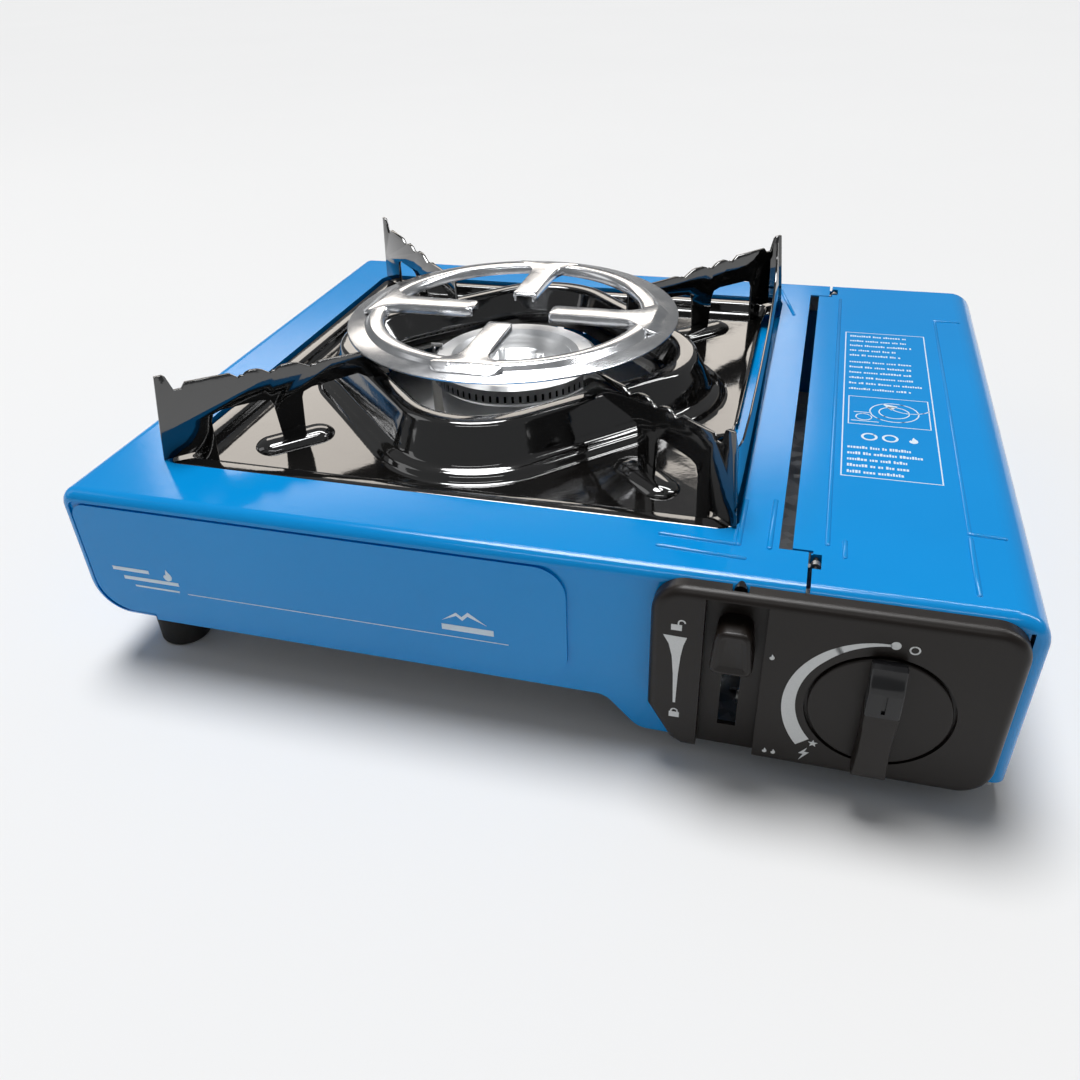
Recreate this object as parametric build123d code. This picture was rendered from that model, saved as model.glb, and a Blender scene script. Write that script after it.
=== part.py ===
"""Portable cassette stove, millimetres. X runs left to right seen from the control side,
Y from the control side to the back, Z up. The origin is under the middle of the bounding box."""
import os
from math import atan2, cos, degrees, radians, sin, sqrt, tan

from build123d import *

os.makedirs("parts", exist_ok=True)

# Driving dimensions
SHEET = 0.8
LEFT_X, RIGHT_X = -170.0, 170.0
FRONT_Y, BACK_Y = -130.0, 145.0
TOP_Z = 77.0
BURNER_FLOOR_Z = 20.0
BAY_FLOOR_Z = 7.0
STEP_X = 54.0
WRAP_END_X = -143.0
TRAY_X, TRAY_Y = -33.2, 8.0
TRAY_OPENING = 220.8
TRAY_FLOOR_Z = 71.0
COLLAR_TOP_Z = 90.0
HINGE_X, HINGE_Z = 102.1, 75.2
STRIP_X = 99.7
TAB_FRONT_Y, TAB_BACK_Y = -109.5, 126.6
FIELD = (-165.2, 25.0, 23.6, 71.8)
FIELD_CORNERS = [14, 6, 11, 11]
BARRIER_X = 87.0
CAN_X, CAN_Z = 134.0, 43.0
KNOB_X, KNOB_Z = 126.3, 39.3
LEVER_X, LEVER_Z = 80.5, 57.0
PANEL_BACK_Y, PANEL_FRONT_Y = -130.3, -137.0
GRIP_FRONT_Y = -145.0
DIAL_R = 21.4
CAM_REACH = 12.6
BURNER_R = 36.8
RING_R = 71.3
RING_INNER_R = 55.0
RING_Z = 101.8
EDGE_R = 4.5
PANEL_SCREW = (80.8, 74.6)
SCREW_POCKET_Y = -133.8
CRANK = (-116.0, 17.5)
FOOT_PLACES = [(-146, -112), (-146, 127), (155.5, -113), (155.5, 128)]
LEG_SCALE = 0.92
ELECTRODE = (-72.0, 8.0)
TUBE_Z = 38.0
JET_Y = -110.0
PIN_R = 0.75
HINGE_TABS = {"front": (-114.3, -117.3, -108.9), "rear": (132.7, 127.3, 135.7)}
HINGE_GAPS = [(-118.3, -110.3, -110.3), (128.7, 136.7, 127.9)]
PANEL_FLOOR_Y = PANEL_BACK_Y - 1.8
DIAL_FRONT_Y = PANEL_FRONT_Y - 0.4
PIEZO_Y = -124.0
LEAD_R = 1.1
SHIELD_X = 76.3
SHIELD_LEAN = -6
FINGER_HALF_WIDTH = 5.5
SCREW_HOLE_R = 1.5
CENTRE_HOLE_R = 2.05
TUBE_R, TUBE_BORE_R = 6.5, 5.7
PAN_HALF = 82.0
PAN_TOP_Z = 50.0


def block(x0, x1, y0, y1, z0, z1):
    """Box between two corners."""
    size = Box(x1 - x0, y1 - y0, z1 - z0)
    return Pos((x0 + x1) / 2, (y0 + y1) / 2, (z0 + z1) / 2) * size


def rod_z(x, y, z0, z1, r):
    return Pos(x, y, (z0 + z1) / 2) * Cylinder(r, z1 - z0)


def rod_y(x, z, y0, y1, r):
    return Pos(x, (y0 + y1) / 2, z) * Rot(90, 0, 0) * Cylinder(r, y1 - y0)


def rod_x(y, z, x0, x1, r):
    return Pos((x0 + x1) / 2, y, z) * Rot(0, 90, 0) * Cylinder(r, x1 - x0)


def slab_xz(points, y0, y1):
    """Polygon in the XZ plane, given thickness between two Y values."""
    face = make_face(Polyline([(x, y0, z) for x, z in points], close=True))
    return extrude(face, amount=y1 - y0, dir=(0, 1, 0))


def write(name, shape):
    export_step(shape, "parts/" + name + ".step")


def solids_of(pieces):
    """Several loose pieces kept together as one node."""
    return Compound(children=[Solid(p.solid().wrapped) for p in pieces])


# ---- pressed outer skin ----

def skin_outline(side, low):
    """Front outline: rounded corners, and a lower edge that steps down on the bay side."""
    x0, x1, z1 = LEFT_X + side, RIGHT_X - side, TOP_Z - side
    high, deep = BURNER_FLOOR_Z + low, BAY_FLOOR_Z + low
    points = [(x0, high), (x0, z1), (x1, z1), (x1, deep), (STEP_X - 4, deep), (STEP_X - 16, high)]
    corners = [16 - side, 7 - side, 11 - side, max(3 - side, 0.5), 8, 8]
    return [(x, 0, z) for x, z in points], corners


def skin_face(side, low, y):
    points, corners = skin_outline(side, low)
    return Pos(0, y, 0) * make_face(FilletPolyline(*points, radius=corners, close=True))


def skin_volume(inset):
    """Rounded outer volume of housing and lid together, shrunk by an inset."""
    y0, y1 = FRONT_Y + inset, BACK_Y - inset
    body = extrude(skin_face(inset, inset, y0), amount=y1 - y0, dir=(0, 1, 0))
    ends = [f for f in body.faces() if abs(f.center().Y - y0) < 0.01 or abs(f.center().Y - y1) < 0.01]
    edges = [e for f in ends for e in f.edges()]
    return fillet(edges, EDGE_R - inset)


def square_plate(side, corner, z0, z1):
    """Rounded square centred on the burner."""
    face = Pos(TRAY_X, TRAY_Y, z0) * RectangleRounded(side, side, corner)
    return extrude(face, amount=z1 - z0)


def end_window(y0, y1):
    """Opening inside the lip at one end of the housing, open below past the left corner."""
    window = extrude(skin_face(4.2, 3.0, y0), amount=y1 - y0, dir=(0, 1, 0))
    return window + block(WRAP_END_X, 165, y0, y1, 0, 40) + block(98, 165, y0, y1, 0, 72)


def housing_shell():
    """Blue wrap: left wall, top with the tray well, and a narrow lip at both ends."""
    far = 200
    region = block(-far, 90.4, -far, far, 0, 100)
    region += block(80, STRIP_X, -far, TAB_FRONT_Y, 0, 100)
    region += block(80, STRIP_X, TAB_BACK_Y, far, 0, 100)
    skin = skin_volume(0) - skin_volume(SHEET)
    shell = skin & region
    shell -= end_window(FRONT_Y - 1, FRONT_Y + 5)
    shell -= end_window(BACK_Y - 5, BACK_Y + 1)
    shell -= block(WRAP_END_X, 165, -far, far, 0, 60)
    shell -= rod_y(*PANEL_SCREW, FRONT_Y - 1, FRONT_Y + 8, SCREW_HOLE_R)
    for x, y in FOOT_PLACES[:2]:
        shell -= rod_z(x, y, BURNER_FLOOR_Z - 5, BURNER_FLOOR_Z + 5, 2)
    return (shell + tray_well()) - square_plate(TRAY_OPENING, 8, 69, TOP_Z + 2)


def tray_well():
    """Down-turned wall of the tray opening, with the ledge that carries the tray."""
    well = square_plate(TRAY_OPENING + 2 * SHEET, 8.8, 68.2, TOP_Z - SHEET / 2)
    well -= square_plate(TRAY_OPENING, 8, 69, TOP_Z)
    return well - square_plate(TRAY_OPENING - 26, 20, 60, TOP_Z)


def end_sheet(y0):
    """Flat end sheet that sits behind the lip."""
    tuck = 3.4
    sheet = extrude(skin_face(tuck, tuck, y0), amount=SHEET, dir=(0, 1, 0))
    full_height = extrude(skin_face(tuck, 0, y0), amount=SHEET, dir=(0, 1, 0))
    sheet += full_height & block(WRAP_END_X, 200, y0 - 1, y0 + 2, 0, 100)
    return sheet & block(-200, 163.5, y0 - 1, y0 + 2, 0, 100)


def front_panel():
    """Front sheet with a raised field and cut-outs for the controls."""
    y0 = FRONT_Y + 1.0
    left, right, low, high = FIELD
    corners = [(left, y0, low), (left, y0, high), (right, y0, high), (right, y0, low)]
    outline = FilletPolyline(*corners, radius=FIELD_CORNERS, close=True)
    field = extrude(make_face(outline), amount=1.0, dir=(0, -1, 0))
    sheet = end_sheet(y0) + field
    sheet -= block(73, 88, y0 - 2, y0 + 2, 14, 69)
    sheet -= rod_y(*PANEL_SCREW, y0 - 2, y0 + 2, SCREW_HOLE_R)
    return sheet - rod_y(KNOB_X, KNOB_Z, y0 - 2, y0 + 2, 9)


def back_panel():
    """Rear sheet with two rows of air slots behind the cartridge and the burner."""
    y0 = BACK_Y - 1.0 - SHEET
    sheet = end_sheet(y0)
    for index in range(9):
        x = -95 + 15.5 * index
        sheet -= block(x - 2, x + 2, y0 - 1, y0 + 2, 40, 60)
    for index in range(4):
        x = 106 + 15 * index
        sheet -= block(x - 2, x + 2, y0 - 1, y0 + 2, 18, 38)
    return sheet


def base_plate():
    """Stepped floor with low upturned edges."""
    y0, y1 = -127.6, 142.6
    left = block(WRAP_END_X + 0.3, STEP_X + SHEET, y0, y1, BURNER_FLOOR_Z, BURNER_FLOOR_Z + SHEET)
    riser = block(STEP_X, STEP_X + SHEET, y0, y1, BAY_FLOOR_Z, BURNER_FLOOR_Z + SHEET)
    right = block(STEP_X, 166.4, y0, y1, BAY_FLOOR_Z, BAY_FLOOR_Z + SHEET)
    plate = left + riser + right
    for y in (y0, y1 - SHEET):
        plate += block(WRAP_END_X + 0.3, STEP_X + SHEET, y, y + SHEET, BURNER_FLOOR_Z, BURNER_FLOOR_Z + 8)
        plate += block(STEP_X, 163, y, y + SHEET, BAY_FLOOR_Z, BAY_FLOOR_Z + 8)
    plate += block(165.6, 166.4, y0, y1, BAY_FLOOR_Z, BAY_FLOOR_Z + 9)
    for x, y in FOOT_PLACES[2:]:
        plate -= rod_z(x, y, 0, 30, 2)
    return plate


def heat_barrier():
    """Upright sheet that keeps the burner's heat from the cartridge."""
    sheet = block(BARRIER_X, BARRIER_X + SHEET, -120, 141.4, BAY_FLOOR_Z + SHEET, 74.5)
    sheet += block(BARRIER_X - 9, BARRIER_X, -120, 141.4, BAY_FLOOR_Z + SHEET, BAY_FLOOR_Z + 2 * SHEET)
    sheet -= block(70, 100, -125, -92, 0, 13)
    sheet -= rod_x(JET_Y, TUBE_Z, 70, 100, 9)
    return sheet - rod_x(-113.8, 57.8, 70, 100, 4)


def foot(x, y):
    """Moulded rubber foot under the floor."""
    top = BURNER_FLOOR_Z if x < 0 else BAY_FLOOR_Z
    with BuildPart() as part:
        Cylinder(10, top, align=(Align.CENTER, Align.CENTER, Align.MIN))
        fillet(part.edges().sort_by(Axis.Z)[0], 1.5)
    body = Pos(x, y, 0) * part.part
    return body - rod_z(x, y, top - 5, top + 1, 2)


def foot_screws():
    screws = []
    for x, y in FOOT_PLACES:
        top = BURNER_FLOOR_Z if x < 0 else BAY_FLOOR_Z
        shank = rod_z(x, y, top - 5, top + SHEET + 1, 2)
        head = rod_z(x, y, top + SHEET, top + SHEET + 2.2, 3.6)
        slot = block(x - 2.5, x + 2.5, y - 0.4, y + 0.4, top + SHEET + 1.4, top + SHEET + 3)
        screws.append(shank + head - slot)
    return solids_of(screws)


# ---- lid ----

def lid():
    """Cartridge bay lid: top, right wall, front and back lips, hinge ears."""
    region = block(101, 220, -200, 200, 10.5, 100)
    region += block(94.6, 102, TAB_FRONT_Y + 1, TAB_BACK_Y - 1, 60, 100)
    cover = (skin_volume(0) - skin_volume(SHEET)) & region
    cover -= block(90, 164.5, -200, 200, 0, 72)
    for y0, y1, ear_y0 in HINGE_GAPS:
        cover -= block(98, 103.7, y0, y1, 60, 100)
        ear = block(100.4, 108, ear_y0, ear_y0 + SHEET, 73, TOP_Z - 0.4)
        ear -= rod_y(HINGE_X, HINGE_Z, ear_y0 - 1, ear_y0 + 2, 0.8)
        cover += ear
    return cover


def hinge_bracket(y):
    """Bent tab under the top sheet that holds one hinge pin."""
    web = block(88, HINGE_X, y - 1, y + 1, 67, 76)
    web += block(HINGE_X - 2, HINGE_X + 1.6, y - 1, y + 1, 67, HINGE_Z)
    web -= block(HINGE_X - 3, HINGE_X + 3, y - 2, y + 2, HINGE_Z, 80)
    web += rod_y(HINGE_X, HINGE_Z, y - 1, y + 1, 1.6)
    web += block(88, 98, y - 4, y + 1, 75.4, 76.2)
    return web - rod_y(HINGE_X, HINGE_Z, y - 5, y + 5, PIN_R)


def hinge_pin(y0, y1):
    return rod_y(HINGE_X, HINGE_Z, y0, y1, PIN_R)


# ---- control panel, knob, lever ----

def panel_outline(inset, y0, y1):
    """Fascia outline: rounded, with the lower left corner cut away."""
    x0, x1, z0, z1 = 54 + inset, 164.2 - inset, 9.5 + inset, 76 - inset
    points = [(x0, 26), (x0 + 4, 19), (x0 + 8, 12 + inset / 2), (x0 + 12, z0), (x1, z0), (x1, z1), (x0, z1)]
    solid = slab_xz(points, y0, y1)
    edges = solid.edges().filter_by(Axis.Y)
    round_ones = edges.filter_by(lambda e: e.center().X > 150 or e.center().Z > 60)
    return fillet(round_ones, 11 - inset)


def control_panel():
    body = panel_outline(0, PANEL_FRONT_Y, PANEL_BACK_Y)
    front = body.faces().sort_by(Axis.Y)[0]
    body = fillet(front.edges(), 3.2)
    body -= panel_outline(2.2, PANEL_FRONT_Y + 2.2, PANEL_BACK_Y + 1)
    walls = block(69.2, 91.8, PANEL_FRONT_Y + 2, PANEL_BACK_Y, 9.5, 75.6)
    body += walls - block(70, 91, PANEL_BACK_Y, 0, 0, 80)
    body -= block(71, 90, PANEL_FRONT_Y - 5, PANEL_FLOOR_Y, 0, 73.5)
    body -= block(LEVER_X - 3, LEVER_X + 3, -140, -128, 18.5, 64)
    body -= rod_y(KNOB_X, KNOB_Z, PANEL_FRONT_Y - 1, PANEL_FRONT_Y + 1.6, DIAL_R + 1.1)
    body -= rod_y(KNOB_X, KNOB_Z, PANEL_FRONT_Y - 1, PANEL_BACK_Y + 1, 6)
    screw_x, screw_z = PANEL_SCREW
    body -= rod_y(screw_x, screw_z, PANEL_FLOOR_Y - 0.1, PANEL_BACK_Y + 1, 2.6)
    return body - block(screw_x - 2.6, screw_x + 2.6, SCREW_POCKET_Y, PANEL_BACK_Y + 1, 74, 78)


def knob_dial():
    dial = rod_y(KNOB_X, KNOB_Z, DIAL_FRONT_Y, PANEL_FRONT_Y + 1.2, DIAL_R)
    dial = fillet(dial.edges().group_by(Axis.Y)[0], 0.7)
    return dial - rod_y(KNOB_X, KNOB_Z, -140, -120, 4)


def knob_grip():
    """Grip bar across the dial; its tail reaches past the dial's edge."""
    base = DIAL_FRONT_Y
    side = [(base, 21.0), (base - 3.4, 22.0), (base - 6.0, 15.5), (GRIP_FRONT_Y, 7), (GRIP_FRONT_Y, -20.5),
            (base - 5.4, -22.2), (base - 1.0, -22.2), (base - 0.2, -20.8), (base, -20)]
    face = make_face(Polyline([(KNOB_X - 7, y, KNOB_Z + z) for y, z in side], close=True))
    bar = extrude(face, amount=14, dir=(1, 0, 0))
    waist = [(-5.5, -23), (-4.9, -10), (-5.3, 4), (-5.3, 14), (-4.9, 23), (4.9, 23), (5.3, 14), (5.3, 4),
             (4.9, -10), (5.5, -23)]
    bar = bar & slab_xz([(KNOB_X + x, KNOB_Z + z) for x, z in waist], -160, -120)
    return bar - block(KNOB_X - 4.2, KNOB_X + 4.2, -150, base - 1.6, KNOB_Z + 5, KNOB_Z + 30)


def knob_cap():
    """Glossy insert along the upper half of the grip, with the pointer notch."""
    base = DIAL_FRONT_Y
    side = [(base - 1.6, 22.3), (base - 4.2, 22.3), (base - 6.6, 14.5), (base - 7.5, 9), (base - 7.4, 5),
            (base - 1.6, 5)]
    face = make_face(Polyline([(KNOB_X - 4.2, y, KNOB_Z + z) for y, z in side], close=True))
    cap = extrude(face, amount=8.4, dir=(1, 0, 0))
    return cap - block(KNOB_X - 0.5, KNOB_X + 0.5, -150, base - 6.6, KNOB_Z + 4, KNOB_Z + 11)


def valve_spindle():
    shaft = rod_y(KNOB_X, KNOB_Z, DIAL_FRONT_Y, -112, 4)
    cam = rod_y(KNOB_X, KNOB_Z, -127, -124.4, 7)
    cam += block(KNOB_X - 2, KNOB_X + 2, -127, -124.4, KNOB_Z, KNOB_Z + CAM_REACH)
    return shaft + cam


def lever_thumb():
    """Thumb piece of the fuel lock, with its stem through the slot."""
    with BuildPart() as part:
        with Locations((LEVER_X, PANEL_FLOOR_Y - 5.4, LEVER_Z)):
            Box(14, 10, 18)
        fillet(part.edges().filter_by(Axis.Y), 3)
        front = part.faces().sort_by(Axis.Y)[0]
        fillet(front.edges(), 1.6)
    stem = block(LEVER_X - 2.4, LEVER_X + 2.4, PANEL_FLOOR_Y - 1, -126.4, LEVER_Z - 4, LEVER_Z + 4)
    return part.part + stem


def lock_slide():
    """Steel slide behind the front sheet that the lever moves."""
    return block(74.5, 86.4, -126.4, -125.2, LEVER_Z - 12, LEVER_Z + 12)


def lock_crank():
    """Bell crank that turns the slide's travel into the pusher's."""
    y, z = CRANK
    plate = rod_x(y, z, 84.2, 85.4, 4.0)
    for angle in (90, 135):
        arm = block(84.2, 85.4, y, y + 6.6, z - 2, z + 2)
        plate += arm.rotate(Axis((0, y, z), (1, 0, 0)), angle)
    return plate - rod_x(y, z, 80, 90, CENTRE_HOLE_R)


def crank_pin():
    return rod_x(*CRANK, 83.2, BARRIER_X, 2) + rod_x(*CRANK, 82.4, 83.2, 3.0)


def cartridge_pusher():
    """Strip along the bay floor; its upturned end pushes the can forward."""
    z0, z1 = BAY_FLOOR_Z + 1.8, BAY_FLOOR_Z + 3.0
    strip = block(91, 98, -104, 121.2, z0, z1)
    strip += block(79.4, 98, -104, -97, z0, z1)
    strip += block(79.4, 82, -98.2, -97, z0, 28)
    strip += block(91, 156, 113, 121.2, z0, z1)
    strip += block(112, 156, 120, 121.2, z0, 52)
    return strip


def cartridge_cradle():
    """Two curved saddles joined by a strap, under the can."""
    strap = block(116, 152, -70, 104, BAY_FLOOR_Z + SHEET, BAY_FLOOR_Z + 1.6)
    for y in (-62, 84):
        saddle = block(114, 154, y, y + 8, BAY_FLOOR_Z + SHEET, 18)
        strap += saddle - rod_y(CAN_X, CAN_Z, y - 1, y + 9, 33.6)
    return strap


# ---- gas line ----

def regulator_body():
    body = block(112, 150, -119, -104, 25, 56)
    body = fillet(body.edges().filter_by(Axis.Y), 5)
    body += rod_y(CAN_X, CAN_Z, -104, -96, 17)
    body -= rod_y(CAN_X, CAN_Z, -100, -90, 12)
    body -= rod_y(CAN_X, CAN_Z, -108, -95, 4)
    body -= rod_y(KNOB_X, KNOB_Z, -120, -111, 4.05)
    feet = block(118, 150, -118, -106, BAY_FLOOR_Z + SHEET, 26)
    return body + feet - block(124, 144, -130, -100, 0, 21)


def socket_collar():
    """Bayonet plate that takes the can's flange."""
    collar = rod_y(CAN_X, CAN_Z, -96, -90, 22) - rod_y(CAN_X, CAN_Z, -94.5, -89, 18.6)
    collar -= rod_y(CAN_X, CAN_Z, -98, -89, 14.5)
    for angle in (90, 210, 330):
        x = CAN_X + 17 * cos(radians(angle))
        z = CAN_Z + 17 * sin(radians(angle))
        collar -= block(x - 3, x + 3, -92, -88, z - 3, z + 3)
    return collar


def socket_seal():
    return rod_y(CAN_X, CAN_Z, -100, -97, 11.9) - rod_y(CAN_X, CAN_Z, -101, -96, 5)


def regulator_cap():
    """Round cover over the regulator's diaphragm."""
    return rod_z(CAN_X, -111.5, 56, 59, 7.3) + rod_z(CAN_X, -111.5, 59, 62, 5)


def valve_bonnet():
    bonnet = rod_y(KNOB_X, KNOB_Z, -123.6, -119, 8)
    return bonnet - rod_y(KNOB_X, KNOB_Z, -125, -118, 4.05)


def gas_jet():
    """Brass nozzle screwed into the regulator's outlet."""
    jet = rod_x(JET_Y, TUBE_Z, 106, 112, 3) + rod_x(JET_Y, TUBE_Z, 108, 112, 4.5)
    return jet - rod_x(JET_Y, TUBE_Z, 104, 110, 0.6)


def tube_path():
    start = (101, JET_Y, TUBE_Z)
    return FilletPolyline(start, (22, JET_Y, TUBE_Z), (TRAY_X + 7, TRAY_Y - 12.5, TUBE_Z), radius=38)


def mixing_tube():
    path = tube_path()
    outer = sweep(Plane(path @ 0, z_dir=path % 0) * Circle(TUBE_R), path=path)
    inner = sweep(Plane(path @ 0, z_dir=path % 0) * Circle(TUBE_BORE_R), path=path)
    return outer - inner


def burner_base():
    """Casting under the burner that the mixing tube enters."""
    base = rod_z(TRAY_X, TRAY_Y, 28, 52, 14.3) - rod_z(TRAY_X, TRAY_Y, 30, 53, 12)
    base += rod_z(TRAY_X, TRAY_Y, BURNER_FLOOR_Z + SHEET, 28, 6)
    path = tube_path()
    end = Plane(path @ 1, z_dir=path % 1)
    return base - extrude(end * Circle(TUBE_R + 0.05), amount=20, both=True)


def ring_of(points):
    """Body of revolution about the burner's axis from (radius, z) points."""
    face = make_face(Polyline([(r, 0, z) for r, z in points], close=True))
    return Pos(TRAY_X, TRAY_Y, 0) * revolve(face, axis=Axis.Z)


def burner_bowl():
    return ring_of([(12.5, 52), (14.5, 52), (34, 62), (34, 75), (32.6, 75), (32.6, 62.8),
                    (14, 53.2), (12.5, 53.2)])


def burner_head():
    """Slotted ring that the flames leave."""
    head = ring_of([(26, 75), (BURNER_R - 2, 75), (BURNER_R, 77), (BURNER_R, 83), (BURNER_R - 2, 84.4),
                    (28.5, 84.4), (26, 82)])
    slots = []
    for index in range(72):
        slot = block(BURNER_R - 1.2, BURNER_R + 1, -0.55, 0.55, 77.6, 80.6)
        slots.append(Pos(TRAY_X, TRAY_Y, 0) * Rot(0, 0, index * 5) * slot)
    return head - slots


def burner_plate():
    """Dished plate inside the head, with two posts."""
    plate = ring_of([(0.01, 76.2), (25.7, 76.2), (25.7, 77.2), (0.01, 77.2)])
    for dx, dy in ((-9, 8), (10, 5)):
        plate += rod_z(TRAY_X + dx, TRAY_Y + dy, 77, 83, 1.8)
    return plate


def burner_pan():
    """Bright plate round the burner, on four legs."""
    x0, x1 = TRAY_X - PAN_HALF, TRAY_X + PAN_HALF
    y0, y1 = TRAY_Y - PAN_HALF, TRAY_Y + PAN_HALF
    pan = block(x0, x1, y0, y1, PAN_TOP_Z - SHEET, PAN_TOP_Z)
    for x in (x0, x1 - SHEET):
        for y in (y0, y1 - 16):
            pan += block(x, x + SHEET, y, y + 16, BURNER_FLOOR_Z + SHEET, PAN_TOP_Z)
    return pan - rod_z(TRAY_X, TRAY_Y, 40, 60, 15.2) - rod_z(*ELECTRODE, 40, 60, 3.2)


# ---- ignition ----

def igniter_ceramic():
    return rod_z(*ELECTRODE, 42, 76, 2.5) - rod_z(*ELECTRODE, 40, 80, 0.8)


def electrode_tip():
    """Wire through the ceramic, bent over towards the head."""
    x, y = ELECTRODE
    tip = rod_z(x, y, 40, 85.5, 0.8)
    return tip + rod_x(y, 85.5, x - 0.8, x + 4.5, 0.8)


def piezo_igniter():
    """Piezo unit beside the spindle's cam."""
    body = block(146.5, 162, -127.4, -119.6, 33, 43)
    body = fillet(body.edges().filter_by(Axis.X), 1.5)
    return body - rod_x(PIEZO_Y, KNOB_Z, 140, 154, 2.1)


def piezo_plunger():
    return rod_x(PIEZO_Y, KNOB_Z, 139.8, 149.5, 2)


LEAD_POINTS = [(154, -123.5, 43), (154, -123.5, 52), (148, -122.5, 62), (128, -122, 66), (106, -120.5, 64),
               (88, -114, 58), (74, -99, 50), (62, -76, 42), (50, -52, 34), (34, -43, 28), (12, -39, 25.5),
               (-12, -35, 25), (-36, -29, 25), (-56, -19, 25.5), (-67, -4, 28), (-72, 8, 34), (-72, 8, 40)]


def igniter_lead():
    """Insulated lead from the piezo to the electrode."""
    radii = []
    for before, corner, after in zip(LEAD_POINTS, LEAD_POINTS[1:], LEAD_POINTS[2:]):
        run_in = Vector(*corner) - Vector(*before)
        run_out = Vector(*after) - Vector(*corner)
        half_turn = radians(run_in.get_angle(run_out)) / 2
        radii.append(0.45 * min(run_in.length, run_out.length) / tan(half_turn))
    path = FilletPolyline(*LEAD_POINTS, radius=radii)
    return sweep(Plane(path @ 0, z_dir=path % 0) * Circle(LEAD_R), path=path)


# ---- drip tray, legs, shield, ring ----

def rounded_diamond(apothem, corner, z):
    """Square turned by 45 degrees, corners rounded."""
    return Pos(TRAY_X, TRAY_Y, z) * Rot(0, 0, 45) * RectangleRounded(2 * apothem, 2 * apothem, corner)


def frustum(apothem0, apothem1, corner0, corner1, z0, z1):
    """Collar volume that narrows from one rounded diamond to another."""
    return loft([rounded_diamond(apothem0, corner0, z0), rounded_diamond(apothem1, corner1, z1)])


def tray_collar():
    top = COLLAR_TOP_Z
    solid = frustum(75, 67, 40, 36, TRAY_FLOOR_Z - SHEET, top)
    solid -= frustum(74.2, 66.2, 39.2, 35.2, TRAY_FLOOR_Z - SHEET - 0.01, top - SHEET)
    inner = frustum(52, 60, 30, 32, TRAY_FLOOR_Z + 1, top)
    hole = frustum(51.2, 59.2, 29.2, 31.2, TRAY_FLOOR_Z + 0.99, top + 0.01)
    rim_hole = extrude(rounded_diamond(59.6, 31.6, top - 1), amount=2)
    return (solid - rim_hole) + (inner - hole)


def drip_tray():
    """Enamelled tray: flat rim, sunk floor, raised collar, vent slot by the shield."""
    side = TRAY_OPENING - 3
    rim = square_plate(side, 6.5, 75.2, 76) - square_plate(side - 16, 5, 70, 80)
    wall = square_plate(side - 14.4, 5.8, TRAY_FLOOR_Z - SHEET, 76) - square_plate(side - 16, 5, 60, 80)
    floor = square_plate(side - 14.4, 5.8, TRAY_FLOOR_Z - SHEET, TRAY_FLOOR_Z)
    floor -= extrude(rounded_diamond(74.4, 39.4, 60), amount=20)
    tray = rim + wall + floor + tray_collar()
    slot = [(68, 98), (68, -14), (65, -24), (59, -33), (59, -58), (80, -78), (80, 98)]
    face = make_face(Polyline([(x, y, 60) for x, y in slot], close=True))
    tray -= extrude(face, amount=20, dir=(0, 0, 1))
    return tray - block(74.0, 90, TRAY_Y - 105, TRAY_Y + 105, 60, 80)


LEG_OUTLINE = [
    (12.4, 0.2), (1.6, 0.2), (5.0, 36.5), (8.0, 36.5), (9.4, 29.3), (11.5, 29.3), (12.8, 31.6), (25.5, 30.9),
    (27.8, 28.3), (30.8, 30.4), (35.1, 29.3), (37.2, 27.2), (41.2, 29.4), (45.8, 28.8), (49.5, 25.9),
    (53.5, 27.5), (58.0, 27.1), (68.5, 26.6), (74.0, 25.0), (74.4, 14.3), (67.5, 14.3), (64.0, 17.5),
    (49.0, 16.5), (45.5, 13.0), (44.5, -6.3), (37.5, -6.3), (36.5, 12.0), (33.0, 16.0), (21.0, 16.0),
    (17.5, 12.0), (17.0, -6.3), (12.6, -6.3)]


def leg(sx, sy):
    """Upright pan support plate on a diagonal of the tray."""
    points = []
    for d, z in LEG_OUTLINE:
        radius = (120 - d) * sqrt(2) * LEG_SCALE
        points.append((radius, 0, TOP_Z + LEG_SCALE * z))
    face = make_face(Polyline(points, close=True))
    plate = extrude(face, amount=0.75, both=True, dir=(0, 1, 0))
    return Pos(TRAY_X, TRAY_Y, 0) * Rot(0, 0, degrees(atan2(sy, sx))) * plate


def heat_shield():
    """Leaning sheet along the cartridge side, dished along its top edge."""
    y0, y1 = TRAY_Y - 104, TRAY_Y + 104
    low, high = 69.2, 109
    outline = [(y0, low), (y1, low), (y1 - 3.5, high), (y1 - 6.5, high), (y1 - 14, 97), (y1 - 34, 90),
               (TRAY_Y, 87), (y0 + 34, 90), (y0 + 14, 97), (y0 + 6.5, high), (y0 + 3.5, high)]
    face = make_face(Polyline([(SHIELD_X, y, z) for y, z in outline], close=True))
    sheet = extrude(face, amount=1, dir=(-1, 0, 0))
    return sheet.rotate(Axis((SHIELD_X, 0, 69), (0, 1, 0)), SHIELD_LEAN)


def pot_ring():
    """Pressed ring of channel section with four channel fingers."""
    r, z = RING_INNER_R, RING_Z
    ring = ring_of([(r, z), (r + 1.4, z), (r + 2.4, z + 2.8), (r + 6.2, z + 2.8), (r + 7.4, z + 0.9),
                    (RING_R, z + 0.2), (RING_R, z + 1.4), (r + 8.0, z + 2.1), (r + 6.8, z + 4),
                    (r + 1.4, z + 4)])
    finger = block(17, r + 1.2, -FINGER_HALF_WIDTH, FINGER_HALF_WIDTH, z, z + 4)
    finger -= block(15, r - 0.6, 1.2 - FINGER_HALF_WIDTH, FINGER_HALF_WIDTH - 1.2, z - 1, z + 2.8)
    for angle in range(0, 360, 90):
        ring += Pos(TRAY_X, TRAY_Y, 0) * Rot(0, 0, angle) * finger
    return ring


# ---- fasteners ----

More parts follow.
